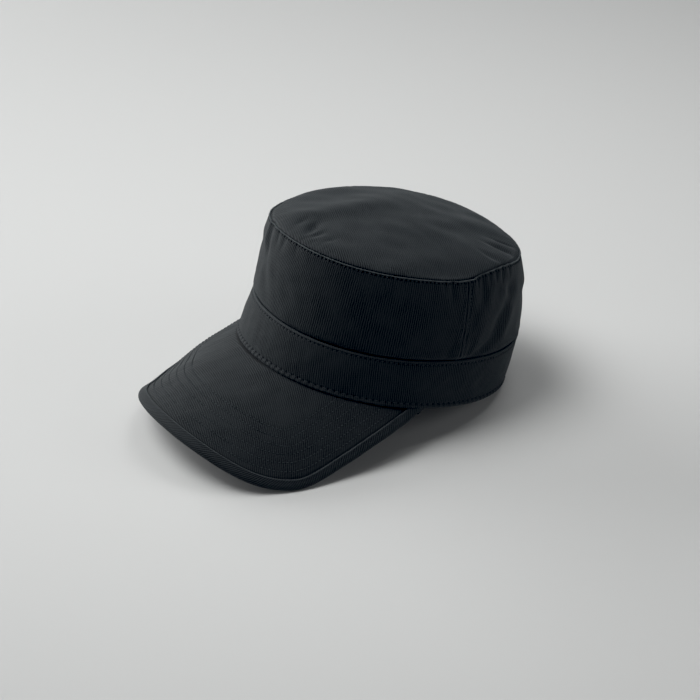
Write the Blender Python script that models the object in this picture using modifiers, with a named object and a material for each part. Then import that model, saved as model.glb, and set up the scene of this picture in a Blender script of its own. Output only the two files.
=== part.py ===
# Military cap: a flat-topped twill cap with a banded crown and an arched, bound peak.
# It rests as it would on a table, on the peak's two corners and the back of the band.
# Metres, +Z up. The peak points to -Y and the wearer's left is +X.
#
# Every shape is worked out in the cap's own frame, where the head opening is level at height 0.
# The empty "rest_pose" leans the cap back and lowers it on to the table.
# Angles run round the cap from 0 at the front, towards the wearer's left.

import math

import bmesh
import bpy
from mathutils import Vector

# Cloth and board thicknesses
CROWN_CLOTH = 0.0012
BAND_CLOTH = 0.0018
PEAK_BOARD = 0.0030
BINDING_CLOTH = 0.0010
GAP = 0.0003                 # between pieces that are sewn together

# Resting pose
REST_TILT = math.radians(14.5)
SLAB_DEPTH = 0.020           # the table slab that flattens the band where it rests

# Horizontal outlines of the cap, outside of the cloth
OVAL_POWER = 2.11            # 2 is an ellipse, more is squarer
HEM = {"half_width": 0.0865, "half_length": 0.1013, "centre_y": 0.0, "height": 0.0}
BAND_TOP = {"half_width": 0.0860, "half_length": 0.0992, "centre_y": 0.0041, "height": 0.0348}
TOP_SEAM = {"half_width": 0.0789, "half_length": 0.0903, "centre_y": -0.0042, "height": 0.0956}
HEM_WAVE = (0.0022, 0.0010)  # lift of the hem at the front, once and twice round
TOP_RISE = 0.027             # the top seam rises this much for each metre towards the back
BAND_SWELL = 0.0006
CROWN_SWELL = {"front": 0.0017, "back": 0.0046}

# Side seams and hidden allowances
SIDE_SEAM = math.radians(94.0)
TUCK_INSET = BAND_CLOTH + 0.0005
TUCK_LEVEL = 0.80            # how far down behind the band the crown reaches, in wall levels
TOP_LIP = 0.0050
TOP_LIP_INSET = CROWN_CLOTH + 0.0011
DOME = 0.0050

# Peak
PEAK_SLOPE = 0.64            # fall for each unit forward
ARCH_RADIUS = 0.1010
ARCH_TAPER = 1.2             # the arch tightens forward, per metre
ARCH_TOP = 0.0064
SIDE_DROP = 0.0200           # the peak's ends turn down by this to meet the hem
SIDE_DROP_FROM_Y = -0.0620
SIDE_DROP_TO_Y = -0.0155
SIDE_DROP_POWER = 1.6
ROOT_BLEND = 0.025           # distance over which the arch settles on to the hem
ROOT_END = math.radians(77.5)
ROOT_TUCK = 0.0060           # root turned up inside the band
SEAT = {"front": 0.0008, "end": 0.0022, "from": math.radians(52.0), "to": math.radians(68.0)}
OUTLINE_CENTRE_Y = -0.0587
OUTLINE_END = math.radians(112.0)

# Binding
BINDING_WIDTH = 0.0080
BINDING_EASE = 0.0005        # between the board and the strip folded over it
BINDING_SKIN = BINDING_CLOTH + BINDING_EASE
EDGE_ROUND = PEAK_BOARD / 2 + BINDING_SKIN
BAND_CLEARANCE = 0.0012      # how far under the band's cloth its top leg may reach
BINDING_END = math.radians(113.0)  # just past the board, tucked under the band

# Mesh fineness
BAND_COLUMNS = 80
FRONT_COLUMNS = 48
BACK_COLUMNS = 56
TOP_COLUMNS = 48
PEAK_COLUMNS = 42            # shared by the board and its binding

# The peak's outline seen from above: reach from a centre inside the cap, by angle from the front.
PEAK_OUTLINE = [
    {"angle": 0, "reach": 0.1145},
    {"angle": 20, "reach": 0.1136},
    {"angle": 40, "reach": 0.1103},
    {"angle": 60, "reach": 0.1028},
    {"angle": 80, "reach": 0.0952},
    {"angle": 95, "reach": 0.0945},
    {"angle": 105, "reach": 0.0952},
    {"angle": 120, "reach": 0.0972},
]

# How the top seam rises and dips where the cloth is eased in.
SEAM_WAVE = [
    {"angle": -180, "lift": -0.0022},
    {"angle": -150, "lift": -0.0004},
    {"angle": -120, "lift": 0.0010},
    {"angle": -85, "lift": 0.0002},
    {"angle": -52, "lift": -0.0024},
    {"angle": -20, "lift": -0.0006},
    {"angle": 11, "lift": 0.0014},
    {"angle": 45, "lift": 0.0008},
    {"angle": 72, "lift": -0.0007},
    {"angle": 94, "lift": -0.0024},
    {"angle": 104, "lift": 0.0008},
    {"angle": 116, "lift": 0.0024},
    {"angle": 140, "lift": -0.0002},
    {"angle": 180, "lift": -0.0022},
]

# Folds of the side wall. Height is 0 at the band and 1 at the top seam. A ridge has a negative depth.
WALL_FOLDS = [
    {"angle": 88, "height": 0.82, "depth": 0.0008, "half_angle": 3.5, "half_height": 0.25},
    {"angle": 102, "height": 0.85, "depth": 0.0014, "half_angle": 3.2, "half_height": 0.28},
    {"angle": 110, "height": 0.80, "depth": 0.0016, "half_angle": 3.2, "half_height": 0.30},
    {"angle": 120, "height": 0.60, "depth": 0.0014, "half_angle": 4.5, "half_height": 0.35},
    {"angle": 108, "height": 0.18, "depth": 0.0020, "half_angle": 6.0, "half_height": 0.16},
    {"angle": 133, "height": 0.10, "depth": -0.0010, "half_angle": 5.0, "half_height": 0.08},
    {"angle": -16, "height": 0.86, "depth": 0.0022, "half_angle": 4.5, "half_height": 0.16},
    {"angle": -38, "height": 0.92, "depth": -0.0024, "half_angle": 22.0, "half_height": 0.22},
    {"angle": 150, "height": 0.88, "depth": -0.0022, "half_angle": 24.0, "half_height": 0.16},
    {"angle": -103, "height": 0.84, "depth": 0.0012, "half_angle": 3.5, "half_height": 0.28},
    {"angle": -113, "height": 0.78, "depth": 0.0012, "half_angle": 3.5, "half_height": 0.30},
]

# Dents of the top panel: a valley of the given length and width, turned from +X towards +Y.
TOP_DENTS = [
    {"x": 0.004, "y": -0.073, "depth": 0.0020, "half_length": 0.017, "half_width": 0.007, "turn": 138},
    {"x": 0.018, "y": -0.077, "depth": 0.0012, "half_length": 0.009, "half_width": 0.005, "turn": 125},
    {"x": 0.044, "y": 0.050, "depth": 0.0018, "half_length": 0.015, "half_width": 0.007, "turn": 48},
    {"x": 0.000, "y": 0.010, "depth": 0.0012, "half_length": 0.040, "half_width": 0.025, "turn": 20},
]

COLLECTION = "military_cap"


def smooth_step(value, low, high):
    """0 below low, 1 above high, with an easy slope between."""
    t = min(max((value - low) / (high - low), 0.0), 1.0)
    return t * t * (3.0 - 2.0 * t)


def table_value(table, degrees, column):
    """Read a column of a table at an angle, on one smooth curve through its rows."""
    if degrees <= table[0]["angle"]:
        return table[0][column]
    if degrees >= table[-1]["angle"]:
        return table[-1][column]
    after = next(i for i, row in enumerate(table) if row["angle"] >= degrees)
    before = after - 1

    def slope(i):
        if i == 0 or i == len(table) - 1:
            return 0.0
        rise = table[i + 1][column] - table[i - 1][column]
        return rise / (table[i + 1]["angle"] - table[i - 1]["angle"])

    width = table[after]["angle"] - table[before]["angle"]
    t = (degrees - table[before]["angle"]) / width
    start, end = table[before][column], table[after][column]
    swing = (1.0 - t) * slope(before) - t * slope(after)
    return start + (end - start) * t * t * (3.0 - 2.0 * t) + t * (1.0 - t) * width * swing


def oval_point(outline, angle, inset=0.0):
    """Point on a horizontal outline, moved in by the inset."""
    side, back = math.sin(angle), -math.cos(angle)
    power = 2.0 / OVAL_POWER
    x = (outline["half_width"] - inset) * math.copysign(abs(side) ** power, side)
    y = (outline["half_length"] - inset) * math.copysign(abs(back) ** power, back)
    return Vector((x, outline["centre_y"] + y, outline["height"]))


def oval_angle(x, y):
    """Angle of the hem point that lies on the line from the cap's centre through (x, y)."""
    power = OVAL_POWER / 2.0
    side = math.copysign(abs(x / HEM["half_width"]) ** power, x)
    front = math.copysign(abs(y / HEM["half_length"]) ** power, -y)
    return math.atan2(side, front)


def hem_height(angle):
    return HEM_WAVE[0] * math.cos(angle) + HEM_WAVE[1] * math.cos(2 * angle)


def seam_lift(angle):
    degrees = math.degrees(math.atan2(math.sin(angle), math.cos(angle)))
    return table_value(SEAM_WAVE, degrees, "lift")


def fold_depth(angle, height):
    """How far the wall's folds draw it in at this place."""
    total = 0.0
    for fold in WALL_FOLDS:
        away = math.degrees(angle) - fold["angle"]
        away = (away + 180.0) % 360.0 - 180.0
        across = away / fold["half_angle"]
        along = (height - fold["height"]) / fold["half_height"]
        total += fold["depth"] * math.exp(-across * across - along * along)
    return total


def wall_point(angle, level, inset=0.0):
    """Outer surface of the side: level 0 is the hem, 1 the band's top edge, 2 the top seam."""
    middle = oval_point(BAND_TOP, angle, inset)
    if level <= 1.0:
        low = oval_point(HEM, angle, inset)
        low.z += hem_height(angle)
        point = low.lerp(middle, level)
        swell = BAND_SWELL * math.sin(math.pi * max(level, 0.0))
    else:
        high = oval_point(TOP_SEAM, angle, inset)
        high.z += TOP_RISE * high.y + seam_lift(angle)
        height = level - 1.0
        point = middle.lerp(high, height)
        rear = 0.5 - 0.5 * math.cos(angle)
        size = CROWN_SWELL["front"] + (CROWN_SWELL["back"] - CROWN_SWELL["front"]) * rear
        swell = size * math.sin(math.pi * min(height, 1.0)) - fold_depth(angle, height)
    outward = Vector((point.x, point.y, 0.0)).normalized()
    return point + outward * swell


def arch_height(x, y):
    """The peak's board before it is sewn on: an arch that slopes forward, with its ends turned down."""
    forward = -HEM["half_length"] - y
    radius = ARCH_RADIUS * (1.0 - ARCH_TAPER * forward)
    height = ARCH_TOP - PEAK_SLOPE * forward - (radius - math.sqrt(radius ** 2 - x ** 2))
    end = max((y - SIDE_DROP_FROM_Y) / (SIDE_DROP_TO_Y - SIDE_DROP_FROM_Y), 0.0)
    return height - SIDE_DROP * end ** SIDE_DROP_POWER


def root_height(angle):
    """Top of the peak's root under the hem. The ends sit lower, to let the binding pass."""
    share = smooth_step(abs(angle), SEAT["from"], SEAT["to"])
    return hem_height(angle) - SEAT["front"] - (SEAT["end"] - SEAT["front"]) * share


def peak_height(x, y):
    """Top surface of the peak."""
    angle = oval_angle(x, y)
    root = oval_point(HEM, angle)
    beyond = math.hypot(x, y) - math.hypot(root.x, root.y)
    if beyond <= 0.0:
        return root_height(angle)
    correction = root_height(angle) - arch_height(root.x, root.y)
    return arch_height(x, y) + correction * math.exp(-(beyond / ROOT_BLEND) ** 2)


def on_peak(x, y, lift=0.0):
    """Point on the peak's top surface, raised square to it by lift."""
    step = 0.0005
    slope_x = (peak_height(x + step, y) - peak_height(x - step, y)) / (2 * step)
    slope_y = (peak_height(x, y + step) - peak_height(x, y - step)) / (2 * step)
    normal = Vector((-slope_x, -slope_y, 1.0)).normalized()
    return Vector((x, y, peak_height(x, y))) + normal * lift, normal


def edge_point(angle):
    """Outermost line of the bound peak, on the level of its top surface."""
    reach = table_value(PEAK_OUTLINE, abs(math.degrees(angle)), "reach")
    x = reach * math.sin(angle)
    y = OUTLINE_CENTRE_Y - reach * math.cos(angle)
    return Vector((x, y, peak_height(x, y)))


def edge_inward(angle):
    """Direction in the surface, square to the edge, that points in from it."""
    step = math.radians(0.5)
    along = edge_point(angle + step) - edge_point(angle - step)
    edge = edge_point(angle)
    normal = on_peak(edge.x, edge.y)[1]
    return normal.cross(along).normalized()


def room_inward(angle):
    """Distance in from the edge before the band's cloth is in the way, up to the binding's width."""
    edge, inward = edge_point(angle), edge_inward(angle)
    step = 0.0002
    distance = step
    while distance < BINDING_WIDTH:
        place = edge + inward * distance
        wall = oval_point(HEM, oval_angle(place.x, place.y), BAND_CLEARANCE)
        if math.hypot(place.x, place.y) < math.hypot(wall.x, wall.y):
            break
        distance += step
    return distance


def spread(low, high, count):
    """Evenly spaced values, both ends included."""
    return [low + (high - low) * i / (count - 1) for i in range(count)]


def surface_mesh(name, rows, ring=False, pole=None):
    """Quads between rows of points. A ring joins its last column to its first; a pole closes the last row."""
    mesh = bmesh.new()
    grid = [[mesh.verts.new(point) for point in row] for row in rows]
    columns = len(rows[0])
    last = columns if ring else columns - 1
    for upper, lower in zip(grid, grid[1:]):
        for i in range(last):
            j = (i + 1) % columns
            mesh.faces.new((upper[i], lower[i], lower[j], upper[j]))
    if pole is not None:
        centre = mesh.verts.new(pole)
        for i in range(columns):
            mesh.faces.new((grid[-1][i], centre, grid[-1][(i + 1) % columns]))
    data = bpy.data.meshes.new(name)
    mesh.to_mesh(data)
    mesh.free()
    return data


def material(name, colour, roughness):
    made = bpy.data.materials.new(name)
    made.use_nodes = True
    shader = made.node_tree.nodes["Principled BSDF"]
    shader.inputs["Base Color"].default_value = (*colour, 1.0)
    shader.inputs["Roughness"].default_value = roughness
    shader.inputs["Metallic"].default_value = 0.0
    return made


def add_cloth(name, data, finish, thickness, rest):
    """Make a surface a wall of cloth: the surface is its outer side."""
    piece = bpy.data.objects.new(name, data)
    bpy.data.collections[COLLECTION].objects.link(piece)
    piece.parent = rest
    data.materials.append(finish)
    data.shade_smooth()
    wall = piece.modifiers.new("wall", "SOLIDIFY")
    wall.thickness = thickness
    wall.offset = -1.0
    wall.use_even_offset = True
    return piece


def make_band(finish, rest):
    angles = [2 * math.pi * i / BAND_COLUMNS for i in range(BAND_COLUMNS)]
    rows = [[wall_point(a, level) for a in angles] for level in (1.0, 0.66, 0.33, 0.0)]
    return add_cloth("band", surface_mesh("band", rows, ring=True), finish, BAND_CLOTH, rest)


def crown_rows(angles):
    """The crown's side, from the top seam down to its allowance behind the band."""
    levels = [
        {"level": 2.00, "inset": 0.0006},
        {"level": 1.97, "inset": 0.0},
        {"level": 1.84, "inset": 0.0},
        {"level": 1.68, "inset": 0.0},
        {"level": 1.52, "inset": 0.0},
        {"level": 1.36, "inset": 0.0},
        {"level": 1.20, "inset": 0.0},
        {"level": 1.09, "inset": 0.0},
        {"level": 1.03, "inset": 0.0010},
        {"level": 1.00, "inset": TUCK_INSET},
        {"level": TUCK_LEVEL, "inset": TUCK_INSET},
    ]
    return [[wall_point(a, row["level"], row["inset"]) for a in angles] for row in levels]


def make_crown_panels(finish, rest):
    """Two side panels, which meet at the side seams."""
    ease = GAP / 2 / TOP_SEAM["half_width"]
    front = spread(-SIDE_SEAM + ease, SIDE_SEAM - ease, FRONT_COLUMNS + 1)
    back = spread(SIDE_SEAM + ease, 2 * math.pi - SIDE_SEAM - ease, BACK_COLUMNS + 1)
    for name, angles in (("crown_front_panel", front), ("crown_back_panel", back)):
        add_cloth(name, surface_mesh(name, crown_rows(angles)), finish, CROWN_CLOTH, rest)


def top_dent(x, y):
    total = 0.0
    for dent in TOP_DENTS:
        turn = math.radians(dent["turn"])
        dx, dy = x - dent["x"], y - dent["y"]
        along = (dx * math.cos(turn) + dy * math.sin(turn)) / dent["half_length"]
        across = (dy * math.cos(turn) - dx * math.sin(turn)) / dent["half_width"]
        total += dent["depth"] * math.exp(-along * along - across * across)
    return total


def top_point(angle, share, shoulder):
    """Top panel: share is 1 at its edge and 0 at the middle; the shoulder rounds the edge over."""
    edge = oval_point(TOP_SEAM, angle, TOP_LIP_INSET)
    centre_y = TOP_SEAM["centre_y"]
    x = edge.x * share
    y = centre_y + (edge.y - centre_y) * share
    height = TOP_SEAM["height"] + TOP_RISE * y + seam_lift(angle) * share ** 2
    height += DOME * (1.0 - share ** 2) + shoulder - top_dent(x, y) * (1.0 - share ** 8)
    return Vector((x, y, height))


def make_crown_top(finish, rest):
    angles = [2 * math.pi * i / TOP_COLUMNS for i in range(TOP_COLUMNS)]
    crown_height = TOP_SEAM["height"] - BAND_TOP["height"]
    lip_foot = 2.0 - TOP_LIP / crown_height
    rows = [[wall_point(a, level, TOP_LIP_INSET) for a in angles] for level in (lip_foot, 2.0)]
    for share, shoulder in ((0.988, 0.0010), (0.95, 0.0016), (0.85, 0.0018), (0.70, 0.0018),
                            (0.53, 0.0018), (0.35, 0.0018), (0.17, 0.0018)):
        rows.append([top_point(a, share, shoulder) for a in angles])
    rows = [list(reversed(row)) for row in rows]
    data = surface_mesh("crown_top", rows, ring=True, pole=top_point(0.0, 0.0, 0.0018))
    return add_cloth("crown_top", data, finish, CROWN_CLOTH, rest)


def make_peak(finish, rest):
    """The board from its turned-up root out to the edge that the binding wraps."""
    shares = (0.06, 0.20, 0.36, 0.52, 0.68, 0.84, 1.0)
    columns = []
    for u in spread(-1.0, 1.0, PEAK_COLUMNS + 1):
        root_angle, angle = u * ROOT_END, u * OUTLINE_END
        crown_height = BAND_TOP["height"]
        tuck = wall_point(root_angle, ROOT_TUCK / crown_height, TUCK_INSET)
        corner = wall_point(root_angle, 0.0, TUCK_INSET)
        corner.z = root_height(root_angle)
        root = wall_point(root_angle, 0.0)
        board_edge = edge_point(angle) + edge_inward(angle) * EDGE_ROUND
        column = [tuck, corner]
        for share in shares:
            place = root.lerp(board_edge, share)
            column.append(Vector((place.x, place.y, peak_height(place.x, place.y))))
        columns.append(column)
    rows = [list(row) for row in zip(*columns)]
    return add_cloth("peak", surface_mesh("peak", rows), finish, PEAK_BOARD, rest)


def make_binding(finish, rest):
    """A strip folded over the peak's edge: a leg on top, a round edge and a leg below."""
    below = -PEAK_BOARD - BINDING_SKIN
    columns = []
    angles = spread(-OUTLINE_END, OUTLINE_END, PEAK_COLUMNS + 1)
    for angle in [-BINDING_END] + angles + [BINDING_END]:
        edge, inward = edge_point(angle), edge_inward(angle)
        width = max(room_inward(angle), EDGE_ROUND + 0.0010)
        middle = 0.5 * (width + EDGE_ROUND)
        column = []
        for distance in (width, middle, EDGE_ROUND):
            place = edge + inward * distance
            column.append(on_peak(place.x, place.y, BINDING_SKIN)[0])
        hub = edge + inward * EDGE_ROUND
        hub, normal = on_peak(hub.x, hub.y, -PEAK_BOARD / 2)
        for turn in (45.0, 0.0, -45.0):
            turn = math.radians(turn)
            column.append(hub + (normal * math.sin(turn) - inward * math.cos(turn)) * EDGE_ROUND)
        for distance in (EDGE_ROUND, middle, width):
            place = edge + inward * distance
            column.append(on_peak(place.x, place.y, below)[0])
        columns.append(column)
    rows = [list(row) for row in zip(*columns)]
    return add_cloth("peak_binding", surface_mesh("peak_binding", rows), finish, BINDING_CLOTH, rest)


def world_bounds(pieces):
    """Lowest and highest corner of the finished pieces."""
    bpy.context.view_layer.update()
    graph = bpy.context.evaluated_depsgraph_get()
    points = []
    for piece in pieces:
        shown = piece.evaluated_get(graph)
        mesh = shown.to_mesh()
        points += [shown.matrix_world @ vertex.co for vertex in mesh.vertices]
        shown.to_mesh_clear()
    low = Vector([min(p[i] for p in points) for i in range(3)])
    high = Vector([max(p[i] for p in points) for i in range(3)])
    return low, high


def settle(rest, pieces, binding):
    """Stand the cap on height 0 by its peak, with the whole cap centred over the origin."""
    low, high = world_bounds(pieces)
    rest.location = (0.0, -(low.y + high.y) / 2, -world_bounds([binding])[0].z)


def flatten_band(band):
    """Press the back of the band flat where it rests."""
    bpy.ops.mesh.primitive_cube_add(size=1.0, location=(0.0, 0.0, -SLAB_DEPTH / 2))
    slab = bpy.context.object
    slab.name = "table_slab"
    slab.scale = (0.4, 0.5, SLAB_DEPTH)
    slab.hide_render = True
    slab.display_type = "WIRE"
    for owner in list(slab.users_collection):
        owner.objects.unlink(slab)
    bpy.data.collections["cutters"].objects.link(slab)
    cut = band.modifiers.new("rest_flat", "BOOLEAN")
    cut.operation = "DIFFERENCE"
    cut.object = slab


def main():
    for item in list(bpy.data.objects):
        bpy.data.objects.remove(item)
    for name in (COLLECTION, "cutters"):
        made = bpy.data.collections.new(name)
        bpy.context.scene.collection.children.link(made)

    rest = bpy.data.objects.new("rest_pose", None)
    bpy.data.collections[COLLECTION].objects.link(rest)
    rest.rotation_euler.x = -REST_TILT

    crown_finish = material("crown_twill", (0.012, 0.014, 0.015), 0.85)
    band_finish = material("band_twill", (0.010, 0.012, 0.013), 0.85)
    peak_finish = material("peak_twill", (0.014, 0.016, 0.017), 0.82)
    binding_finish = material("binding_twill", (0.010, 0.012, 0.013), 0.85)

    make_crown_top(crown_finish, rest)
    make_crown_panels(crown_finish, rest)
    band = make_band(band_finish, rest)
    make_peak(peak_finish, rest)
    binding = make_binding(binding_finish, rest)

    pieces = [item for item in bpy.data.collections[COLLECTION].objects if item.type == "MESH"]
    settle(rest, pieces, binding)
    flatten_band(band)


main()
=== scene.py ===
# Military cap, dressed: twill crown, band, stitched peak and bias binding.
# Shapes are worked out with the head opening level, then leaned back on to the table.
# Angles run round the cap from 0 at the front, towards the wearer's left.
import math

import bpy
import numpy as np
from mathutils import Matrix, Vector


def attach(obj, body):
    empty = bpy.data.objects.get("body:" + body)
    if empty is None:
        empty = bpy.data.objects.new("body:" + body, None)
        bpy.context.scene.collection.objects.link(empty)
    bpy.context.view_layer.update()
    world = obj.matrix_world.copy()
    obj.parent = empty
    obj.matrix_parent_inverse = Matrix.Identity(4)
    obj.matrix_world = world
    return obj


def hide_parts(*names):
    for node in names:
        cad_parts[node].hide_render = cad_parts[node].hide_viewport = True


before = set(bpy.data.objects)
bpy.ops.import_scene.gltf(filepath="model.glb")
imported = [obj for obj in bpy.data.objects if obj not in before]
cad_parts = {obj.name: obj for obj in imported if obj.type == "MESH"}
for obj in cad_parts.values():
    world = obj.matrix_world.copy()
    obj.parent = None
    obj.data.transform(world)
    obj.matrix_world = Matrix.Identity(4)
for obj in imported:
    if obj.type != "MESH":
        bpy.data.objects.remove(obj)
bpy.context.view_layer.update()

print("frame loaded:", sorted(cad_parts))

cap = {
    "restTilt": math.radians(14.5),
    "restPlace": (0.0, 0.03235, 0.02599),
    "ovalPower": 2.11,
    "hem": {"halfWidth": 0.0865, "halfLength": 0.1013, "centreY": 0.0, "height": 0.0},
    "bandTop": {"halfWidth": 0.086, "halfLength": 0.0992, "centreY": 0.0041, "height": 0.0348},
    "topSeam": {"halfWidth": 0.0789, "halfLength": 0.0903, "centreY": -0.0042, "height": 0.0956},
    "hemWave": (0.0022, 0.001),
    "topRise": 0.027,
    "sideSeam": 94.0,  # degrees round from the front
    "seamPitch": 0.003,  # one stitch of each kind of row
    "bandPitch": 0.0034,
    "hemPitch": 0.0046,
    "rowPitch": 0.0028,
    "columnGap": 0.00052,  # spacing of mesh columns round the crown and the band
}

# how the top seam rises and dips where the cloth is eased in: lift by angle
seamWave = {
    -180: -0.0018, -150: -0.0012, -120: -0.0006, -85: -0.0016, -52: -0.0035, -20: -0.0006, 11: 0.0014,
    45: 0.0008, 72: -0.0007, 94: -0.0024, 104: 0.0008, 116: 0.0024, 140: -0.0008, 180: -0.0018,
}


# one smooth curve through a table of values by angle
def tableValue(table, degrees):
    at = np.array(list(table), float)
    value = np.array(list(table.values()), float)
    slope = np.zeros(len(at))
    slope[1:-1] = (value[2:] - value[:-2]) / (at[2:] - at[:-2])
    degrees = np.clip(degrees, at[0], at[-1])
    after = np.clip(np.searchsorted(at, degrees), 1, len(at) - 1)
    before = after - 1
    width = at[after] - at[before]
    t = (degrees - at[before]) / width
    swing = (1 - t) * slope[before] - t * slope[after]
    eased = t * t * (3 - 2 * t)
    return value[before] + (value[after] - value[before]) * eased + t * (1 - t) * width * swing


def wrapDegrees(degrees):
    return (degrees + 180.0) % 360.0 - 180.0


def smoothStep(value, low, high):
    t = np.clip((value - low) / (high - low), 0.0, 1.0)
    return t * t * (3 - 2 * t)


def signedPower(value, power):
    return np.sign(value) * np.abs(value) ** power


def ovalPoint(outline, angle, inset=0.0):
    power = 2.0 / cap["ovalPower"]
    x = (outline["halfWidth"] - inset) * signedPower(np.sin(angle), power)
    y = outline["centreY"] + (outline["halfLength"] - inset) * signedPower(-np.cos(angle), power)
    return np.stack(np.broadcast_arrays(x, y, outline["height"]), -1)


def hemHeight(angle):
    return cap["hemWave"][0] * np.cos(angle) + cap["hemWave"][1] * np.cos(2 * angle)


def seamLift(angle):
    return tableValue(seamWave, wrapDegrees(np.degrees(angle)))


# lean the cap back on to the table
def toRest(points):
    c, s = math.cos(cap["restTilt"]), math.sin(cap["restTilt"])
    x, y, z = points[..., 0], points[..., 1], points[..., 2]
    return np.stack([x, y * c + z * s, z * c - y * s], -1) + np.array(cap["restPlace"])


wall = {
    "bandSwell": 0.0006,
    "swellFront": 0.0017,
    "swellBack": 0.0034,
    "foldFade": 0.1,  # how softly a fold starts and ends, as a share of the height
    "foldFoot": (-0.01, 0.07),  # every fold dies away over this height above the band
    # short puckers hanging from the top seam
    "puckers": {"count": 90, "depth": 0.0003, "halfAngle": 0.9, "widths": (0.7, 1.5), "length": 0.075,
                "longest": 1.8, "seed": 11},
    "ripple": {"height": 0.00016, "size": 0.021, "seed": 4},
    # the side seams lean: turned back at the top, forward at the foot
    "seamLean": {"atFoot": -2.8, "rise": 3.8, "half": 12.0},
}
rippleWaves = 26

# each fold of the crown: its depth, half its width in degrees, and the (angle, height) points it follows;
# a negative depth is a ridge
folds = [
    (-0.0017, 22, (-38, 0.7), (-38, 1.15)),
    (-0.0022, 24, (150, 0.6), (150, 1.15)),
    (0.0019, 4.6, (99, 0.02), (104.5, 0.13), (109.5, 0.22), (113, 0.4), (118, 0.55), (123, 0.8)),
    (-0.0008, 3.2, (99.5, 0.2), (102.6, 0.49), (108.5, 0.86)),
    (-0.0004, 1.7, (96.5, 0.34), (101, 0.57), (105.8, 0.78)),
    (0.0011, 1.8, (102.4, 0.66), (103.2, 1.15)),
    (-0.0007, 1.7, (97.4, 0.66), (98.2, 1.15)),
    (0.0009, 0.8, (99.8, 0.9), (100.2, 1.15)),
    (0.001, 1, (106.6, 0.88), (107.6, 1.15)),
    (0.001, 1, (111.2, 0.9), (112.8, 1.15)),
    (0.0009, 1.2, (115.6, 0.84), (118.4, 1.15)),
    (0.0009, 1.3, (122.4, 0.9), (124, 1.15)),
    (-0.0009, 3.2, (116, 0.2), (121.5, 0.5), (117, 0.74)),
    (0.001, 1.2, (87.2, 0.76), (87.6, 1.15)),
    (-0.0005, 1, (90.2, 0.72), (90.6, 1.15)),
    (0.0006, 1, (83.4, 0.9), (83.8, 1.15)),
    (0.0006, 1.1, (77.6, 0.93), (78.2, 1.15)),
    (0.0004, 1.4, (93.6, 0.02), (96.8, 0.22)),
    (-0.0004, 1.4, (96.4, 0.06), (99.6, 0.26)),
    (0.0003, 1.5, (85.2, 0.03), (88.4, 0.24)),
    (-0.0003, 1.4, (88.2, 0), (90.6, 0.2)),
    (-0.0013, 4, (133, 0.02), (133, 0.14)),
    (0.0013, 2.2, (-14.5, 0.62), (-16.5, 0.8), (-17.5, 1)),
    (-0.0007, 1.8, (-20.5, 0.7), (-21.5, 1.05)),
    (0.0006, 1.3, (-8, 0.86), (-10, 1.15)),
    (0.0005, 1.6, (-3, 0.8), (-1, 1.15)),
    (0.0005, 1.2, (7, 0.9), (5, 1.15)),
    (0.0014, 1.8, (-103, 0.6), (-102, 1.15)),
    (-0.0008, 1.4, (-98.5, 0.7), (-98, 1.15)),
    (0.0018, 3.4, (-99, 0.05), (-108, 0.3), (-118, 0.7)),
    (0.001, 1.2, (-112, 0.86), (-111, 1.15)),
    (0.001, 1.6, (-86, 0.7), (-86.5, 1.15)),
    (0.0007, 1.2, (-80, 0.88), (-79, 1.15)),
    (0.0011, 5, (160, 0.45), (157, 0.95)),
    (0.0012, 5.5, (-158, 0.4), (-154, 0.9)),
    (0.0007, 1.8, (176, 0.8), (174, 1.15)),
]


def foldDepth(angle, height):
    degrees = np.degrees(angle)
    fade = wall["foldFade"]
    total = 0.0
    for depth, half, *points in folds:
        path = np.array(points)
        path = path[np.argsort(path[:, 1])]
        centre = np.interp(height, path[:, 1], path[:, 0])
        across = wrapDegrees(degrees - centre) / half
        share = smoothStep(height, path[0, 1] - fade, path[0, 1] + fade)
        share = share * (1.0 - smoothStep(height, path[-1, 1] - fade, path[-1, 1] + fade))
        total = total + depth * share * np.exp(-across ** 2)
    return total


# puckers in the cloth beside a seam, each fading with the distance away from it
def puckerDepth(puckers, angle, away):
    dice = np.random.default_rng(puckers["seed"])
    degrees = np.degrees(angle)
    total = 0.0
    for i in range(puckers["count"]):
        centre = (i + dice.uniform(-0.4, 0.4)) * 360.0 / puckers["count"]
        size = puckers["depth"] * dice.uniform(0.1, 1.0)
        length = puckers["length"] * dice.uniform(0.5, puckers["longest"])
        across = wrapDegrees(degrees - centre) / (puckers["halfAngle"] * dice.uniform(*puckers["widths"]))
        total = total + size * np.exp(-across ** 2 - (away / length) ** 2)
    return total


# gentle unevenness of hanging cloth: waves in random directions, even all round
def ripple(points, form):
    dice = np.random.default_rng(form["seed"])
    total = 0.0
    for _ in range(rippleWaves):
        way = dice.normal(size=3)
        way = way / np.linalg.norm(way) / (form["size"] * dice.uniform(0.5, 1.8))
        total = total + np.sin(2 * math.pi * (points @ way + dice.uniform()))
    return total / math.sqrt(rippleWaves / 2)


# a ripple that dies away towards an edge
def edgedRipple(points, form, fromEdge):
    return form["height"] * ripple(points, form) * smoothStep(fromEdge, form["from"], form["to"])


def seamTurn(angle, height):
    lean = wall["seamLean"]
    turn = math.radians(1.0) * (lean["atFoot"] + lean["rise"] * height)
    near = np.exp(-((np.abs(np.degrees(angle)) - cap["sideSeam"]) / lean["half"]) ** 2)
    return turn * near * np.sign(angle)


def unit(ways):
    return ways / np.linalg.norm(ways, axis=-1, keepdims=True)


def surfaceUp(points):
    return unit(points * np.array([1.0, 1.0, 0.0]))


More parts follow.
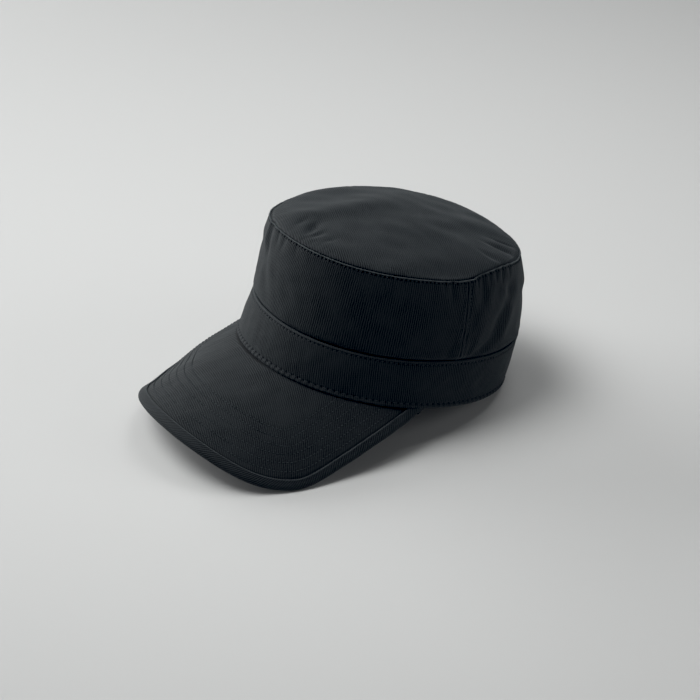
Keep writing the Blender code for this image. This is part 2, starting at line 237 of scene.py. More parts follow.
# outer side of the wall: level 0 is the hem, 1 the band's top edge, 2 the top seam
def wallPoint(angle, level, inset=0.0):
    angle, level, inset = np.broadcast_arrays(angle, level, inset)
    middle = ovalPoint(cap["bandTop"], angle, inset)
    low = ovalPoint(cap["hem"], angle, inset)
    low[..., 2] += hemHeight(angle)
    high = ovalPoint(cap["topSeam"], angle, inset)
    high[..., 2] += cap["topRise"] * high[..., 1] + seamLift(angle)
    height = level - 1.0
    t = level[..., None]
    lower = low + (middle - low) * t
    upper = middle + (high - middle) * (t - 1.0)
    point = np.where(t <= 1.0, lower, upper)
    rear = 0.5 - 0.5 * np.cos(angle)
    size = wall["swellFront"] + (wall["swellBack"] - wall["swellFront"]) * rear
    crownSwell = size * np.sin(math.pi * np.clip(height, 0.0, 1.0))
    crownSwell = crownSwell - foldDepth(angle, height) * smoothStep(height, *wall["foldFoot"])
    crownSwell = crownSwell - puckerDepth(wall["puckers"], angle, 1.0 - height)
    loose = np.sin(math.pi * np.clip(height, 0.0, 1.0)) ** 0.5
    crownSwell = crownSwell + wall["ripple"]["height"] * loose * ripple(point, wall["ripple"])
    bandSwell = wall["bandSwell"] * np.sin(math.pi * np.clip(level, 0.0, 1.0))
    swell = np.where(level <= 1.0, bandSwell, crownSwell)
    return point + surfaceUp(point) * swell[..., None]


def lengthAlong(line):
    return np.concatenate([[0.0], np.cumsum(np.linalg.norm(np.diff(line, axis=0), axis=1))])


# distance run along an outline, for every angle of a fine round
def runAlong(pointAt, start, end, steps=2400):
    angles = np.linspace(start, end, steps)
    return angles, lengthAlong(pointAt(angles))


# 1 at every needle hole, falling to 0 between them
def holeShare(run, pitch, sharpness=3.0):
    return (0.5 + 0.5 * np.cos(2 * math.pi * run / pitch)) ** sharpness


def bell(value, centre, half):
    return np.exp(-((value - centre) / half) ** 2)


# a ridge, roll, groove or mark along a line: its height, where it lies and half its width
def mound(value, form):
    height, centre, half = form
    return height * bell(value, centre, half)


# a mesh from a grid of points, leaned back; rows and columns may each run on into their first
def gridMesh(name, section, uv, closeRows, closeColumns, marks, poles=None):
    rows, columns = section.shape[:2]
    r = np.arange(rows if closeRows else rows - 1)
    c = np.arange(columns if closeColumns else columns - 1)
    r0, c0 = np.meshgrid(r, c, indexing="ij")
    r1, c1 = r0 + 1, c0 + 1
    corner = [(r0, c0), (r1, c0), (r1, c1), (r0, c1)]
    index = np.stack([(a % rows) * columns + b % columns for a, b in corner], -1).reshape(-1, 4)
    uvIndex = np.stack([a * uv.shape[1] + b for a, b in corner], -1).reshape(-1, 4)
    verts = toRest(section.reshape(-1, 3))
    faces = index.tolist()
    loopUv = uv.reshape(-1, 2)[uvIndex.reshape(-1)]
    if poles is not None:
        verts = np.concatenate([verts, toRest(poles)])
        first, last = len(verts) - 2, len(verts) - 1
        rim = np.arange(columns)
        nextRim = (rim + 1) % columns
        base = (rows - 1) * columns
        faces += [[first, int(a), int(b)] for a, b in zip(rim, nextRim)]
        faces += [[last, int(base + b), int(base + a)] for a, b in zip(rim, nextRim)]
        middle = uv.mean(axis=1)
        for row in (0, rows - 1):
            a, b = uv[row][:columns], uv[row][1:columns + 1]
            ring = [middle[row] + 0 * a, a, b] if row == 0 else [middle[row] + 0 * a, b, a]
            loopUv = np.concatenate([loopUv, np.stack(ring, 1).reshape(-1, 2)])
    elif closeRows and not closeColumns:
        for column in (0, columns - 1):
            ring = [row * columns + column for row in range(rows)]
            ends = uv[:rows, column]
            if column:
                ring.reverse()
                ends = ends[::-1]
            faces.append(ring)
            loopUv = np.concatenate([loopUv, ends])
    verts[:, 2] = np.maximum(verts[:, 2], 0.0)
    data = bpy.data.meshes.new(name)
    data.from_pydata(verts.tolist(), [], faces)
    layer = data.uv_layers.new(name="cloth")
    layer.data.foreach_set("uv", loopUv.astype(np.float32).ravel())
    for mark, values in marks.items():
        flat = np.broadcast_to(values, (rows, columns)).reshape(-1)
        flat = np.concatenate([flat, np.zeros(len(verts) - len(flat))])
        data.attributes.new(mark, "FLOAT", "POINT").data.foreach_set("value", flat.astype(np.float32))
    data.calc_loop_triangles()
    tri = np.zeros(len(data.loop_triangles) * 3, np.int32)
    data.loop_triangles.foreach_get("vertices", tri)
    a, b, d = (verts[tri.reshape(-1, 3)[:, i]] for i in range(3))
    if np.einsum("ij,ij->i", a, np.cross(b, d)).sum() < 0:
        data.flip_normals()
    data.shade_smooth()
    data.validate()
    return data


def blankMarks(section):
    return {mark: np.zeros(section.shape[:2]) for mark in ("wearAndHighlight", "paintedShade")}


# a folded strip of cloth: its rim, its outer face and the rows behind, with the wear and painted highlight
# of each, and the painted shade of its face
def foldedStrip(rim, outer, behind, rimWearAndHighlight, wearAndHighlight, paintedShade):
    section = np.stack(rim + list(outer) + behind)
    face = slice(len(rim), len(rim) + len(outer))
    marks = blankMarks(section)
    marks["wearAndHighlight"][:len(rim)] = rimWearAndHighlight
    marks["wearAndHighlight"][face] = wearAndHighlight
    marks["paintedShade"][face] = paintedShade
    return section, marks


def newObject(name, data):
    item = bpy.data.objects.new(name, data)
    bpy.context.scene.collection.objects.link(item)
    return item


def addPiece(name, data, finish, node):
    piece = newObject(name, data)
    data.materials.append(finish)
    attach(piece, "root")
    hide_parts(node)
    print(f"{name}: {len(data.vertices)} points")


# each input is given a value, or a link from another node's output
def fillInputs(tree, node, inputs):
    for name, value in inputs.items():
        if isinstance(value, bpy.types.NodeSocket):
            tree.links.new(value, node.inputs[name])
        else:
            node.inputs[name].default_value = value


def addNode(tree, kind, inputs, **traits):
    node = tree.nodes.new(kind)
    for trait, value in traits.items():
        setattr(node, trait, value)
    fillInputs(tree, node, inputs)
    return node.outputs


def newFinish(name):
    made = bpy.data.materials.new(name)
    made.use_nodes = True
    return made, made.node_tree


def fillShader(tree, colour, look, more=None):
    fillInputs(tree, tree.nodes["Principled BSDF"], {
        "Base Color": colour, "Roughness": look["roughness"], "Specular IOR Level": look["specular"],
        **(more or {})})


# near-black cotton twill: ribs across the cloth's own UV, lint, rubbed folds with a painted highlight, and
# painted shade in needle holes and creases
def twillFinish(name, look):
    made, tree = newFinish(name)

    def waves(direction, pitch, inputs):
        inputs = {"Vector": turned, "Scale": waveScale / pitch, **inputs}
        return addNode(tree, "ShaderNodeTexWave", inputs, bands_direction=direction)["Fac"]

    def noise(scale, inputs):
        return addNode(tree, "ShaderNodeTexNoise", {"Vector": coords, "Scale": scale, **inputs})["Fac"]

    def mark(attribute):
        return addNode(tree, "ShaderNodeAttribute", {}, attribute_name=attribute)["Fac"]

    def mixFloat(share, a, b):
        return addNode(tree, "ShaderNodeMix", {0: share, 2: a, 3: b}, data_type="FLOAT")[0]

    def mixColour(share, a, b):
        return addNode(tree, "ShaderNodeMix", {0: share, 6: a, 7: b}, data_type="RGBA")[2]

    def scaled(value, factor, shift):
        inputs = {0: value, 1: factor, 2: shift}
        return addNode(tree, "ShaderNodeMath", inputs, operation="MULTIPLY_ADD", use_clamp=True)[0]

    parts = ("valley", "ridge", "faded", "rubbedAndHighlight", "hole", "sheenColour")
    colours = {part: (*look[part], 1.0) for part in parts}
    coords = addNode(tree, "ShaderNodeUVMap", {}, uv_map="cloth")["UV"]
    turn = {"Vector": coords, "Rotation": (0.0, 0.0, math.radians(look["ribTurn"]))}
    turned = addNode(tree, "ShaderNodeMapping", turn)["Vector"]
    wander = {"Distortion": look["ribWander"], "Detail": 2.0, "Detail Scale": 1.6}
    ribs = waves("X", look["ribPitch"], wander)
    picks = waves("Y", look["pickPitch"], {"Distortion": look["pickWander"], "Detail": 1.0})
    fade = noise(look["fadeScale"], {"Detail": 5.0, "Roughness": 0.6})
    weave = mixFloat(look["pickShare"], ribs, picks)
    weave = mixFloat(look["lintShare"], weave, noise(look["lintScale"], {"Detail": 3.0}))
    cloth = mixColour(scaled(weave, 2.0, -0.5), colours["valley"], colours["ridge"])
    cloth = mixColour(scaled(fade, 2.2, -0.9), cloth, colours["faded"])
    # wear and painted highlight on edges and folds, then painted shade in needle holes and creases
    cloth = mixColour(mark("wearAndHighlight"), cloth, colours["rubbedAndHighlight"])
    cloth = mixColour(mark("paintedShade"), cloth, colours["hole"])
    raised = {"Strength": look["bump"], "Distance": look["bumpHeight"], "Height": weave}
    fillShader(tree, cloth, look, {
        "Normal": addNode(tree, "ShaderNodeBump", raised)["Normal"], "Sheen Weight": look["sheen"],
        "Sheen Roughness": look["sheenRoughness"], "Sheen Tint": colours["sheenColour"]})
    return made


waveScale = 0.314159  # a wave texture of scale 1 repeats after this length
twill = {
    "valley": (0.0018, 0.0021, 0.0024),
    "ridge": (0.0284, 0.0325, 0.035),
    "faded": (0.0206, 0.0237, 0.0255),
    # lighter colour for wear and painted highlight on edges and folds
    "rubbedAndHighlight": (0.045, 0.051, 0.054),
    # darkest colour: painted shade in needle holes and creases
    "hole": (0.0009, 0.0009, 0.001),
    "roughness": 0.8,
    "specular": 0.15,
    "sheen": 0.09,
    "sheenRoughness": 0.45,
    "sheenColour": (0.8, 0.88, 0.92),
    "ribTurn": 5.0,
    "ribPitch": 0.00148,
    "ribWander": 2.4,
    "pickPitch": 0.0013,
    "pickWander": 4.0,
    "pickShare": 0.15,
    "lintScale": 1500.0,
    "lintShare": 0.36,
    "fadeScale": 60.0,
    "bump": 0.8,
    "bumpHeight": 0.0003,
}
crownTwill = twillFinish("crownTwill", twill)
topTwill = twillFinish("topTwill", {**twill, "ribTurn": -72.0})
bandTwill = twillFinish("bandTwill", {**twill, "ribTurn": -14.0})
peakTwill = twillFinish("peakTwill", {**twill, "ribTurn": 100.0, "ribPitch": 0.00128})
bindingTwill = twillFinish("bindingTwill", {**twill, "ribTurn": 45.0})

# thread stitches: one small capsule at each point of the rows that are sewn below
stitch = {
    "colour": (0.04, 0.045, 0.048),
    "roughness": 0.9,
    "specular": 0.08,
    "twistScale": 900.0,
    "shades": (0.6, 1.5),  # the thread's darkest and lightest, as shares of its colour
    "share": 0.72,
    "radius": 0.00023,
    "peakRadius": 0.0003,
    "proud": 0.4,  # how far its middle stands out of the groove, as a share of its radius
    "segments": 8,
    "rings": 5,
    "wander": 0.08,
    "seed": 3,
}
threadLift = stitch["radius"] * stitch["proud"]


def threadFinish():
    made, tree = newFinish("thread")
    coords = addNode(tree, "ShaderNodeTexCoord", {})["Object"]
    twist = addNode(tree, "ShaderNodeTexNoise", {"Scale": stitch["twistScale"], "Vector": coords})["Fac"]
    ramp = tree.nodes.new("ShaderNodeValToRGB")
    for end, shade in zip(ramp.color_ramp.elements, stitch["shades"]):
        end.color = (*[v * shade for v in stitch["colour"]], 1.0)
    tree.links.new(twist, ramp.inputs["Fac"])
    fillShader(tree, ramp.outputs["Color"], stitch)
    return made


thread = threadFinish()
print("finishes ready")

# the rows to be sewn: their points, pitch and thread radius
stitchRows = []
zUp = np.array([0.0, 0.0, 1.0])


def addStitchRow(points, pitch, radius=stitch["radius"]):
    if len(points) > 1:
        stitchRows.append((points, pitch, radius))


# cloth UV in metres: the run along the strip and the way down its section
def stripUv(runs, section):
    step = np.linalg.norm(np.diff(section[:, section.shape[1] // 2], axis=0), axis=-1)
    down = np.concatenate([[0.0], np.cumsum(step)])
    down = np.append(down, down[-1] + 0.001)
    return np.stack(np.broadcast_arrays(runs[None, :], -down[:, None]), -1)


# crown side: two panels that meet at the side seams
side = {
    "cloth": 0.0012,
    "halfGap": 0.00015,  # between the panels at a side seam
    "tuckInset": 0.0023,
    "tuckLevel": 0.8,
    "innerLevels": (1.08, 1.25, 1.45, 1.65, 1.82, 1.93, 1.98),
    "rim": ((0.00135, -0.0003), (0.00105, 0.00008), (0.0004, 0.00012)),  # inset and lift of its roll
    # wear and painted highlight along the rim and the top edge, at the top seam
    "rimWearAndHighlight": 0.85,
    "edgeWearAndHighlight": (1.0, 0.0003, 0.0008),
    "ridge": (0.0003, 0.0006, 0.0005),  # the seam's raised edge
    "grooveAt": 0.0018,  # stitch line below the seam
    "groove": 0.00018,
    "grooveHalf": 0.0007,
    "hole": 0.00075,
    "holeSharp": 2.5,
    # painted shade in the needle holes below the seam, and in the crease at the crown's foot above the band
    "darkHole": (1.3, 0.0018, 0.0008),
    "darkFoot": (0.9, 0.0001, 0.0008),
    "footRoll": (0.0007, 0.0, 0.013),  # the crown puffs out just above the band
    "footTuck": 0.0018,  # and turns in behind its edge
    "footTuckHalf": 0.0024,
    "lap": 0.00045,  # cloth folded under at the side seam
    "lapHalf": 0.0042,
    # wear and painted highlight along the lap at the side seam
    "lapWearAndHighlight": (0.45, 0.001, 0.0004),
    "seamCrease": 0.00035,
    "seamCreaseHalf": 0.00045,
    # painted shade in the side seam's crease
    "darkCrease": 0.55,
    "seamRowGap": 0.0021,  # its rows of stitches, to both sides
    "seamRowHalf": 0.0005,
    "seamGroove": 0.00022,
    "seamHole": 0.00025,
    # painted shade in the needle holes of the side seam's rows
    "darkRow": 0.45,
}
sideSeam = math.radians(cap["sideSeam"])
crownHeight = cap["topSeam"]["height"] - cap["bandTop"]["height"]
seamAngles, seamRun = runAlong(lambda a: wallPoint(a, 2.0), -math.pi, math.pi)
seamLength = seamRun[-1]
seamPitch = seamLength / round(seamLength / cap["seamPitch"])
crownReach = 0.084  # about how far the crown's side is from its middle


def seamAngleAt(run):
    turns = np.floor(run / seamLength)
    return np.interp(run - turns * seamLength, seamRun, seamAngles) + 2 * math.pi * turns


def seamRunAt(angle):
    return np.interp(angle, seamAngles, seamRun)


# relief of the crown's outer side, with its wear, painted highlight and painted shade, from the distance
# below the seam and the run along it
def crownRelief(below, run, flat, height):
    holes = holeShare(run, seamPitch, side["holeSharp"])
    groove = bell(below, side["grooveAt"], side["grooveHalf"])
    above = crownHeight - below
    tuck = bell(above, 0.0, side["footTuckHalf"])
    relief = mound(below, side["ridge"]) - groove * (side["groove"] + side["hole"] * holes)
    relief = relief + mound(above, side["footRoll"]) * (1.0 - tuck) - side["footTuck"] * tuck
    paintedShade = mound(below, side["darkHole"]) * holes + mound(above, side["darkFoot"])
    fromSeam = np.radians(np.abs(np.abs(wrapDegrees(np.degrees(flat))) - cap["sideSeam"])) * crownReach
    rowHoles = holeShare(height * crownHeight, cap["rowPitch"])
    rows = bell(fromSeam, side["seamRowGap"], side["seamRowHalf"])
    crease = bell(fromSeam, 0.0, side["seamCreaseHalf"])
    relief = relief + side["lap"] * np.exp(-(fromSeam / side["lapHalf"]) ** 4)
    relief = relief - rows * (side["seamGroove"] + side["seamHole"] * rowHoles) - side["seamCrease"] * crease
    for dark in (side["darkRow"] * rows * rowHoles ** 1.5, side["darkCrease"] * crease):
        paintedShade = np.maximum(paintedShade, dark)
    wearAndHighlight = np.maximum(mound(below, side["edgeWearAndHighlight"]), mound(fromSeam, side["lapWearAndHighlight"]))
    return relief, wearAndHighlight, paintedShade


def wallStrip(angle, height, lift):
    line = wallPoint(angle, 1.0 + height)
    return line + surfaceUp(line) * np.asarray(lift)[..., None]


# the same angle between -180 and 180 degrees
def flatAngle(turn):
    return (turn + math.pi) % (2 * math.pi) - math.pi


def makeCrownPanel(name, node, start, end):
    firstRun = seamRunAt(start)
    lastRun = seamRunAt(end) if end <= math.pi else seamLength + seamRunAt(end - 2 * math.pi)
    count = round((lastRun - firstRun) / cap["columnGap"]) + 1
    runs = np.linspace(firstRun, lastRun, count)
    flat = flatAngle(seamAngleAt(runs))
    # mesh rows lie close together at the top and the foot
    below = np.concatenate([
        np.arange(0.00035, 0.0046, 0.00035),
        np.linspace(0.0053, crownHeight - 0.0055, 44),
        np.linspace(crownHeight - 0.0046, crownHeight - 0.0005, 8)])
    height = (1.0 - below / crownHeight)[:, None]
    angle = flat[None, :] + seamTurn(flat[None, :], height)
    relief, wearAndHighlight, paintedShade = crownRelief(below[:, None], runs[None, :], flat[None, :], height)
    outer = wallStrip(angle, height, relief)
    # the rim rolls over at the seam; the foot passes down behind the band
    away = surfaceUp(outer[0])
    rim = [outer[0] - away * inset + zUp * lift for inset, lift in side["rim"]]
    low = flat + seamTurn(flat, 0.0)
    tuck, cloth = side["tuckInset"], side["cloth"]
    foot = [wallPoint(low, 1.0, tuck), wallPoint(low, side["tuckLevel"], tuck)]
    inner = [wallPoint(low, side["tuckLevel"], tuck + cloth), wallPoint(low, 1.0, tuck + cloth)]
    for level in side["innerLevels"]:
        inner.append(wallPoint(flat + seamTurn(flat, level - 1.0), level, cloth))
    section, marks = foldedStrip(rim, outer, foot + inner, side["rimWearAndHighlight"], wearAndHighlight, paintedShade)
    data = gridMesh(name, section, stripUv(runs, section), True, False, marks)
    addPiece(name, data, crownTwill, node)
    at = np.arange(math.ceil(runs[0] / seamPitch), math.floor(runs[-1] / seamPitch)) + 0.5
    flat = flatAngle(seamAngleAt(at * seamPitch))
    under = 1.0 - side["grooveAt"] / crownHeight
    addStitchRow(wallStrip(flat + seamTurn(flat, under), under, threadLift - side["groove"]), seamPitch)


gap = side["halfGap"] / crownReach
makeCrownPanel("crownFront", "crown_front_panel", gap - sideSeam, sideSeam - gap)
makeCrownPanel("crownBack", "crown_back_panel", sideSeam + gap, 2 * math.pi - sideSeam - gap)


# two rows of stitches down each side seam
def sewSideSeams():
    pitch = cap["rowPitch"]
    heights = (np.arange(2.0, crownHeight / pitch - 1.5) + 0.5) * pitch / crownHeight
    lift = side["lap"] - side["seamGroove"] + threadLift
    for sideSign in (-1.0, 1.0):
        for offset in (-1.0, 1.0):
            flat = np.full_like(heights, sideSign * sideSeam + offset * side["seamRowGap"] / crownReach)
            addStitchRow(wallStrip(flat + seamTurn(flat, heights), heights, lift), pitch)


sewSideSeams()

# top panel
top = {
    "cloth": 0.0012,
    "inset": 0.00085,
    "lipInset": 0.0014,
    "dome": 0.0086,
    "shoulders": ((0.0006, 0.0012), (0.0021, 0.012)),  # rise and reach of the roll beside the seam
    "lip": 0.005,
    "rimHold": 30,  # the higher, the nearer to the seam its forms reach
    # long soft ridges and short dents: x, y, height, half length, half width and turn in degrees
    "relief": [
        (-0.0235, -0.04, 0.0026, 0.052, 0.0115, 93),
        (-0.04, 0.016, 0.0009, 0.03, 0.012, 112),
        (-0.05, -0.018, -0.0009, 0.022, 0.011, 95),
        (0.012, 0.047, 0.0017, 0.02, 0.013, 70),
        (0.03, 0.06, -0.0012, 0.018, 0.008, 60),
        (0.048, 0.052, -0.0019, 0.01, 0.0032, 47),
        (0.037, 0.064, -0.0014, 0.009, 0.0028, 62),
        (0.062, 0.034, -0.0015, 0.008, 0.0032, 25),
        (0.073, -0.012, -0.0016, 0.009, 0.021, 0),
        (0, -0.0765, -0.0019, 0.011, 0.0034, 126),
        (0.01, -0.079, -0.0012, 0.007, 0.0026, 104),
        (-0.012, -0.078, -0.0008, 0.006, 0.0024, 118),
        (0.02, -0.0745, -0.0006, 0.006, 0.0026, 100),
        (0.038, -0.01, -0.0008, 0.03, 0.016, 80),
    ],
    "puckers": {"count": 84, "depth": 0.00036, "halfAngle": 1.1, "widths": (0.8, 1.6), "length": 0.07,
                "longest": 1.7, "seed": 5},
    "ripple": {"height": 0.00022, "size": 0.024, "seed": 8},
}


def topRelief(x, y):
    total = 0.0
    for middleX, middleY, height, halfLength, halfWidth, turn in top["relief"]:
        c, s = math.cos(math.radians(turn)), math.sin(math.radians(turn))
        dx, dy = x - middleX, y - middleY
        along = (dx * c + dy * s) / halfLength
        across = (dy * c - dx * s) / halfWidth
        total = total + height * np.exp(-along ** 2 - across ** 2)
    return total


def topPoint(angle, share, shoulder, lower=0.0):
    edge = ovalPoint(cap["topSeam"], angle, top["inset"])
    centreY = cap["topSeam"]["centreY"]
    x = edge[..., 0] * share
    y = centreY + (edge[..., 1] - centreY) * share
    height = cap["topSeam"]["height"] + cap["topRise"] * y + seamLift(angle) * share ** 2
    height = height + top["dome"] * (1.0 - share ** 2) + shoulder - lower
    free = 1.0 - share ** top["rimHold"]
    height = height + (topRelief(x, y) - puckerDepth(top["puckers"], angle, 1.0 - share)) * free
    flat = np.stack([x, y, np.zeros_like(x)], -1)
    height = height + top["ripple"]["height"] * free * ripple(flat, top["ripple"])
    return np.stack([x, y, height], -1)


def makeTop():
    columns = 560
    angle = (np.arange(columns) / columns * 2 * math.pi)[None, :]
    shares = np.concatenate([
        np.linspace(0.04, 0.86, 46), np.linspace(0.872, 0.98, 17), [0.986, 0.991, 0.995, 0.998, 1.0]])
    reach = (1.0 - shares) * cap["topSeam"]["halfWidth"]
    shoulder = np.zeros_like(reach)
    for rise, width in top["shoulders"]:
        away = 1.0 - np.clip(reach / width, 0, 1)
        shoulder = shoulder + rise * np.sqrt(1.0 - away ** 2)
    outer = topPoint(angle, shares[:, None], shoulder[:, None])
    # the edge turns down inside the crown: drop below the seam and how far in
    lip, cloth = top["lip"], top["cloth"]
    turned = ((0.00005, 0.0), (0.0012, 0.00002), (0.003, 0.00003),
              (lip, 0.00005), (lip, cloth), (0.003, cloth))
    edge = [wallPoint(angle[0], 2.0 - drop / crownHeight, top["lipInset"] + inward)
            for drop, inward in turned]
    middle = float(shoulder[0])
    innerShares = np.array([0.972, 0.93, 0.85, 0.7, 0.5, 0.3, 0.1])[:, None]
    innerShoulder = np.array([0.0004, 0.0012] + [middle] * 5)[:, None]
    inner = topPoint(angle, innerShares, innerShoulder, cloth)
    section = np.concatenate([outer, np.stack(edge), inner])
    poles = np.stack([topPoint(np.array(0.0), np.array(0.0), middle, low) for low in (0.0, cloth)])
    around = np.concatenate([section, section[:, :1]], axis=1)
    data = gridMesh("crownTop", section, around[..., :2], False, True, blankMarks(section), poles)
    addPiece("crownTop", data, topTwill, "crown_top")


makeTop()

# band: one folded strip of cloth, stitched along both edges
band = {
    "cloth": 0.0018,
    "foldTop": 0.0008,  # where the folds at its top edge and its hem begin
    "foldHem": 0.0007,
    "rowStep": 0.0004,
    "topRow": 0.0023,  # stitch lines below the top edge and above the hem
    "hemRow": 0.0035,
    "groove": 0.00022,
    "grooveHalf": 0.0007,
    "hole": 0.00055,
    "holeSharp": 4.0,
    "puff": (0.0006, 0.002, 0.0013),  # the hem swells between its stitches
    "puffLeast": 0.3,
    "edge": (0.00028, 0.0012, 0.0008),  # both edges are a little thicker
    # wear and painted highlight along the top edge, the hem and the top fold
    "topWearAndHighlight": (0.5, 0.0004, 0.0005),
    "hemWearAndHighlight": (0.2, 0.0012, 0.001),
    "foldWearAndHighlight": (0.0, 0.1, 0.35, 0.5, 0.5),
    "innerLevels": (0.03, 0.15, 0.35, 0.55, 0.75, 0.9, 0.97),
    "ripple": {"height": 0.0001, "size": 0.017, "seed": 21, "from": 0.002, "to": 0.008},
}
bandHeight = cap["bandTop"]["height"]
hemAngles, hemRun = runAlong(lambda a: wallPoint(a, 0.3), -math.pi, math.pi)
hemLength = hemRun[-1]


def bandFold(angle, level, way):
    centre = wallPoint(angle, level)
    away = surfaceUp(centre)
    half = band["cloth"] / 2
    turns = np.radians([30, 60, 90, 120, 150])
    return [centre - away * (half - half * math.cos(t)) + zUp * way * half * math.sin(t) for t in turns]


# nearest pitch that goes round the hem in whole stitches
def evenPitch(pitch):
    return hemLength / round(hemLength / pitch)


def makeBand():
    columns = round(hemLength / cap["columnGap"])
    run = np.arange(columns) / columns * hemLength
    angle = np.interp(run, hemRun, hemAngles)[None, :]
    topRow, hemRow, step = band["topRow"], band["hemRow"], band["rowStep"]
    below = np.concatenate([
        np.arange(band["foldTop"], topRow + 0.0018, step),
        np.linspace(topRow + 0.0024, bandHeight - hemRow - 0.0024, 17),
        np.arange(bandHeight - hemRow - 0.0018, bandHeight - band["foldHem"], step)])[:, None]
    level = 1.0 - below / bandHeight
    above = bandHeight - below
    relief, paintedShade = np.zeros_like(below), np.zeros_like(below)
    for fromEdge, row, pitch in ((below, topRow, cap["bandPitch"]), (above, hemRow, cap["hemPitch"])):
        holes = holeShare(run[None, :], evenPitch(pitch), band["holeSharp"])
        groove = bell(fromEdge, row, band["grooveHalf"])
        relief = relief - groove * (band["groove"] + band["hole"] * holes)
        # painted shade in the needle holes
        paintedShade = paintedShade + groove * holes ** 1.5
    between = 1.0 - holeShare(run[None, :], evenPitch(cap["hemPitch"]), 1.0)
    full = band["puffLeast"] + (1 - band["puffLeast"]) * between
    edge = np.minimum(below, above)
    relief = relief + mound(above, band["puff"]) * full + mound(edge, band["edge"])
    outer = wallPoint(angle, level)
    relief = relief + edgedRipple(outer, band["ripple"], edge)
    outer = outer + surfaceUp(outer) * relief[..., None]
    upper = bandFold(angle[0], 1.0 - band["foldTop"] / bandHeight, 1.0)
    lower = bandFold(angle[0], band["foldHem"] / bandHeight, -1.0)
    inner = [wallPoint(angle[0], innerLevel, band["cloth"]) for innerLevel in band["innerLevels"]]
    wearAndHighlight = mound(below, band["topWearAndHighlight"]) + mound(above, band["hemWearAndHighlight"])
    foldWearAndHighlight = np.array(band["foldWearAndHighlight"])[:, None]
    section, marks = foldedStrip(upper[::-1], outer, lower + inner, foldWearAndHighlight, wearAndHighlight, paintedShade)
    data = gridMesh("band", section, stripUv(np.append(run, hemLength), section), True, True, marks)
    addPiece("bandCloth", data, bandTwill, "band")
    sewn = ((1.0 - topRow / bandHeight, cap["bandPitch"]), (hemRow / bandHeight, cap["hemPitch"]))
    for level, pitch in sewn:
        stitches = round(hemLength / pitch)
        at = (np.arange(stitches) + 0.5) * hemLength / stitches
        line = wallPoint(np.interp(at, hemRun, hemAngles), level)
        addStitchRow(line + surfaceUp(line) * (threadLift - band["groove"]), pitch)


makeBand()

# peak and binding
peak = {
    "board": 0.003,
    "slope": 0.64,
    "archRadius": 0.101,
    "archTaper": 1.2,
    "archTop": 0.0064,
    "sideDrop": 0.02,
    "sideDropFrom": -0.062,
    "sideDropTo": -0.0155,
    "sideDropPower": 1.6,
    "rootBlend": 0.025,
    "rootEnd": math.radians(77.5),
    "rootTuck": 0.006,
    "seatFront": 0.0004,
    "seatEnd": 0.0013,
    "seatAngles": np.radians([58.0, 72.0]),
    "outlineCentreY": -0.0587,
    "outlineEnd": math.radians(112.0),
    "bendReach": 0.03,
    # painted shade in the creases beside the binding and where the hem comes down on the peak
    "bindingCrease": (0.7, 0.0084, 0.0005),
    "hemCrease": (0.5, 0.0002, 0.0006),  # it fades towards the ends
    "hemCreaseFade": 0.7,
    "hemCreaseAngles": np.radians([20.0, 50.0]),
    "rightCrease": (1.0, 0.0007, 0.0006),  # deeper from the front round to the wearer's right
    "rightCreaseAngles": np.radians([-14.0, 0.0]),
    "rightCreaseFade": 0.75,  # and fainter again far round
    "rightFadeAngles": np.radians([14.0, 30.0]),
    "rowStep": 0.0005,
    "rowSoften": 0.0055,
    "rowNear": 0.005,
    "rowsAt": (0.0125, 0.0185, 0.0245, 0.0305, 0.0365, 0.0425),
    "rowLeast": (0.96, 0.0004),  # nearer points are folded back in a tight corner, and dropped
    "rowCover": -0.001,  # the rows end 1 mm outside the hem
    "groove": 0.00008,
    "grooveHalf": 0.001,
    "hole": 0.0001,
    "holeHalf": 0.0006,
    # painted shade in the needle holes of the rows
    "darkHole": 0.3,
    "proud": 0.5,
    "flatter": 0.75,  # how much flatter the rows lie on the wearer's right
    "flatterAngles": np.radians([40.0, 60.0]),
    "ripple": {"height": 0.0001, "size": 0.016, "seed": 17, "from": 0.006, "to": 0.016},
}
binding = {
    "cloth": 0.001,
    "ease": 0.0002,
    "width": 0.008,
    "end": math.radians(119.0),
    "riseFrom": math.radians(112.0),  # from here its ends slope up under the band
    "endRise": 0.0024,
    "hemInset": 0.0012,
    "narrowStep": 0.0002,
    "narrowest": 0.001,  # of its flat part, under the band
    "wave": 0.0001,  # unevenness of its flat part
    "slack": 0.0003,  # between its inner side and the board
    # wear and painted highlight along its folded edge
    "wearAndHighlight": (0.2, 0.6, 0.75, 0.3),
}
bindingSkin = binding["cloth"] + binding["ease"]
edgeRound = peak["board"] / 2 + bindingSkin

# the peak's outline seen from above: reach from a centre inside the cap, by angle
peakOutline = {
    0: 0.1145, 20: 0.1136, 40: 0.1103, 60: 0.1028, 78: 0.0952, 92: 0.0935, 104: 0.094, 112: 0.0955,
    120: 0.0968,
}
# the wearer's right corner is bent down and in: how much is trimmed from the reach, by angle
cornerBend = {
    -120: 0.0, -108: -0.0006, -96: -0.001, -84: -0.0006, -74: -0.0003, -66: -0.0004, -58: 0.001,
    -50: 0.0033, -43: 0.0051, -36: 0.0052, -28: 0.0031, -20: 0.0009, -12: 0.0002, -6: 0.0,
}


def ovalAngle(x, y):
    power = cap["ovalPower"] / 2.0
    sideShare = signedPower(x / cap["hem"]["halfWidth"], power)
    frontShare = signedPower(-y / cap["hem"]["halfLength"], power)
    return np.arctan2(sideShare, frontShare)


def archHeight(x, y):
    forward = -cap["hem"]["halfLength"] - y
    radius = peak["archRadius"] * (1.0 - peak["archTaper"] * forward)
    height = peak["archTop"] - peak["slope"] * forward
    height = height - (radius - np.sqrt(np.maximum(radius ** 2 - x ** 2, 0.0)))
    end = np.maximum((y - peak["sideDropFrom"]) / (peak["sideDropTo"] - peak["sideDropFrom"]), 0.0)
    return height - peak["sideDrop"] * end ** peak["sideDropPower"]


